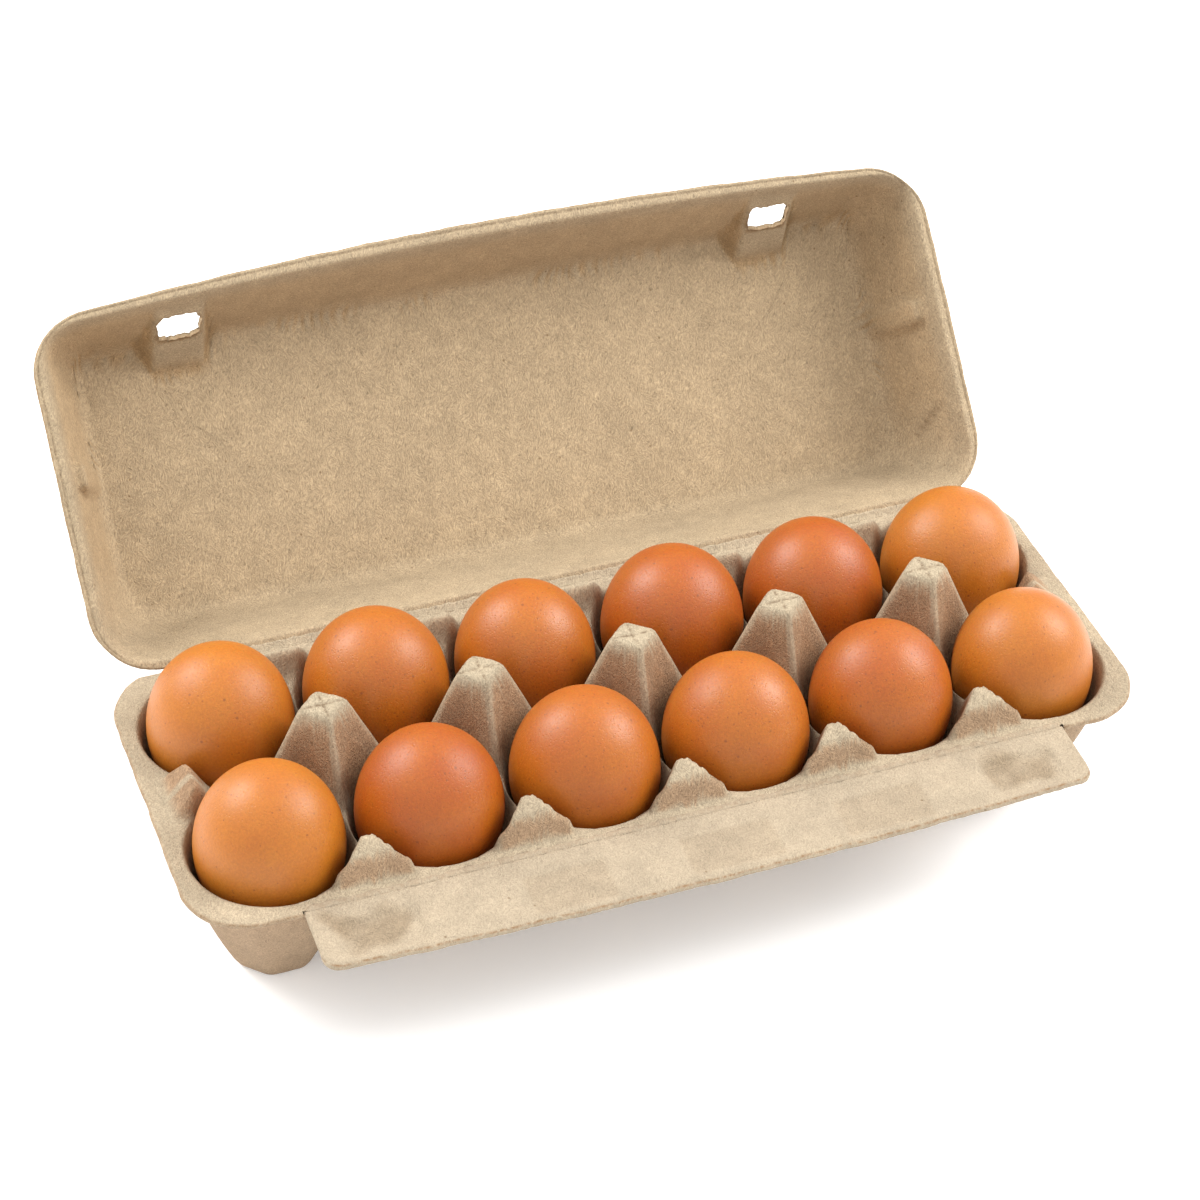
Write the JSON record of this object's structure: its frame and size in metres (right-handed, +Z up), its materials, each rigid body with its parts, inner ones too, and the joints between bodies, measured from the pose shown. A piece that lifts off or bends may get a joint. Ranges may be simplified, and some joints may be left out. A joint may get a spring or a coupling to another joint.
{
  "type": "egg carton with eggs",
  "caption": "Open moulded-pulp egg carton, two rows of cups full of brown eggs, with a hinged lid leaning back and a buttoned closing flap folded out.",
  "frame": {"origin": "on the floor, under the middle of the open carton's bounding box", "axes": "+X along the two rows of eggs, +Y from the closing flap towards the lid, +Z up"},
  "size_m": [0.2966, 0.2278, 0.1243],
  "materials": {
    "tray_pulp": "matte",
    "lid_pulp": "matte",
    "flap_pulp": "matte",
    "eggshell": "satin"
  },
  "bodies": {
    "tray": {"tray": "tray_pulp", "egg_front_1": "eggshell", "egg_front_2": "eggshell", "egg_front_3": "eggshell", "egg_front_4": "eggshell", "egg_front_5": "eggshell", "egg_front_6": "eggshell", "egg_back_1": "eggshell", "egg_back_2": "eggshell", "egg_back_3": "eggshell", "egg_back_4": "eggshell", "egg_back_5": "eggshell", "egg_back_6": "eggshell"},
    "lid": {"lid": "lid_pulp"},
    "flap": {"flap": "flap_pulp"}
  },
  "joints": [
    {"name": "lid_hinge", "type": "hinge", "parent": "tray", "child": "lid", "pos_m": [0, 0.0191, 0.0413], "axis": [1, 0, 0], "range_deg": [-45.6, 134.4]},
    {"name": "flap_crease", "type": "hinge", "parent": "tray", "child": "flap", "pos_m": [0, -0.0884, 0.0413], "axis": [1, 0, 0], "range_deg": [-126, 0]}
  ]
}
